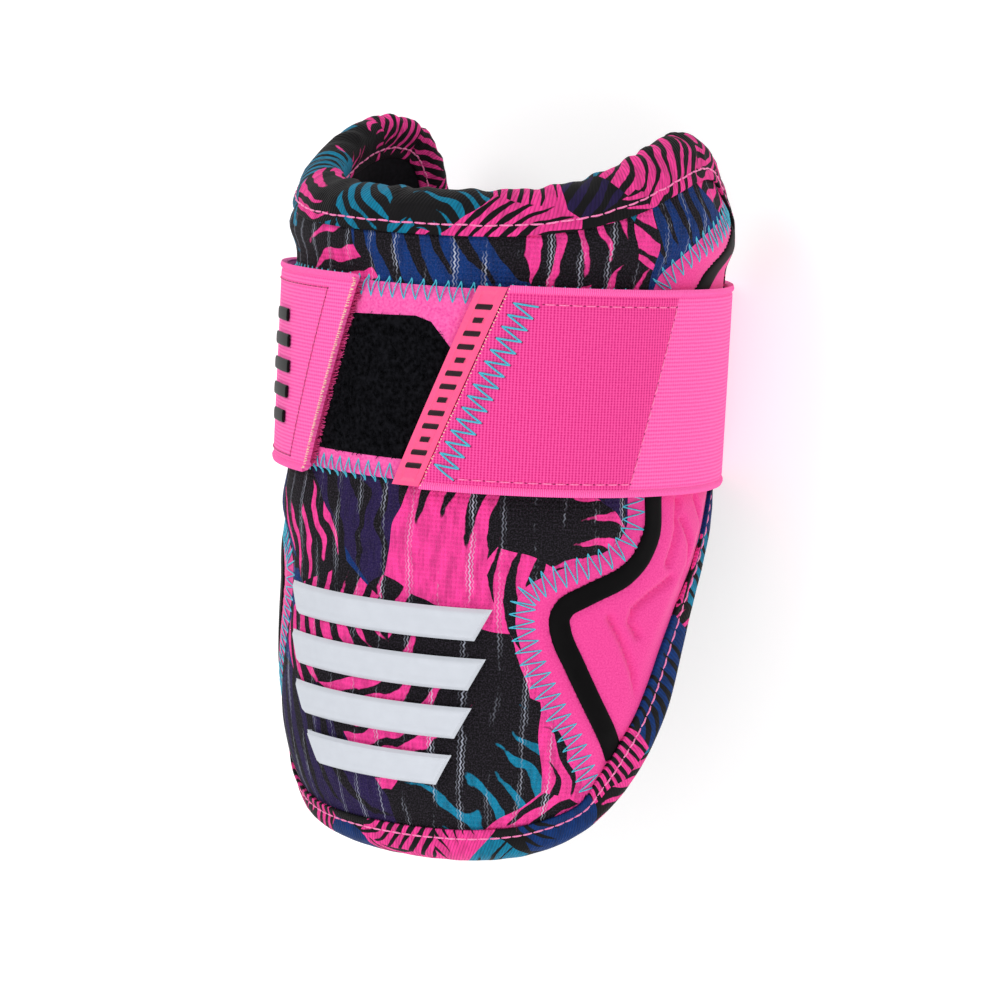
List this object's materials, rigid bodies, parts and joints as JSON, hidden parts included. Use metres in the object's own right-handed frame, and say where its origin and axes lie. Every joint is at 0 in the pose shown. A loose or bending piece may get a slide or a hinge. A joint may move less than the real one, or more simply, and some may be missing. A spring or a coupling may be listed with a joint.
{
  "type": "baseball elbow guard",
  "caption": "Padded batter's elbow guard: a moulded wall round the outside of the elbow, open behind, closed by an elastic hook and loop strap.",
  "frame": {"origin": "centre of the footprint of its bounding box, on the surface that it lies on", "axes": "+Z out of the padded front, +Y along the arm toward the two peaks at the upper-arm end, +X toward the side whose strap end carries the rubber label"},
  "size_m": [0.1164, 0.1844, 0.1005],
  "materials": {
    "printed_knit": "matt printed warp knit, brushed strokes of pink, teal, blue and near black",
    "pink_neoprene": "matt moulded neoprene with a suede-like face",
    "pink_elastic": "matt woven elastic webbing",
    "printed_twill": "matt printed twill tape",
    "black_knit": "matt brick-patterned spacer knit",
    "black_rubber": "semi-gloss moulded rubber",
    "loop_pile": "fuzzy loop pile",
    "pink_rubber": "satin moulded rubber",
    "hook_nylon": "woven hook tape",
    "white_rubber": "satin moulded rubber"
  },
  "bodies": {
    "root": {"front_pad": "printed_knit", "lining": "black_knit", "edge_binding": "printed_twill", "side_pad_right": "pink_neoprene", "side_pad_left": "pink_neoprene", "side_trim_right": "black_rubber", "side_trim_left": "black_rubber", "loop_patch": "loop_pile", "strap": "pink_elastic", "hook_tape": "hook_nylon", "strap_label": "pink_rubber", "front_rib_1": "white_rubber", "front_rib_2": "white_rubber", "front_rib_3": "white_rubber", "front_rib_4": "white_rubber", "badge_bar_1": "black_rubber", "badge_bar_2": "black_rubber", "badge_bar_3": "black_rubber", "badge_bar_4": "black_rubber", "badge_bar_5": "black_rubber"}
  },
  "joints": []
}
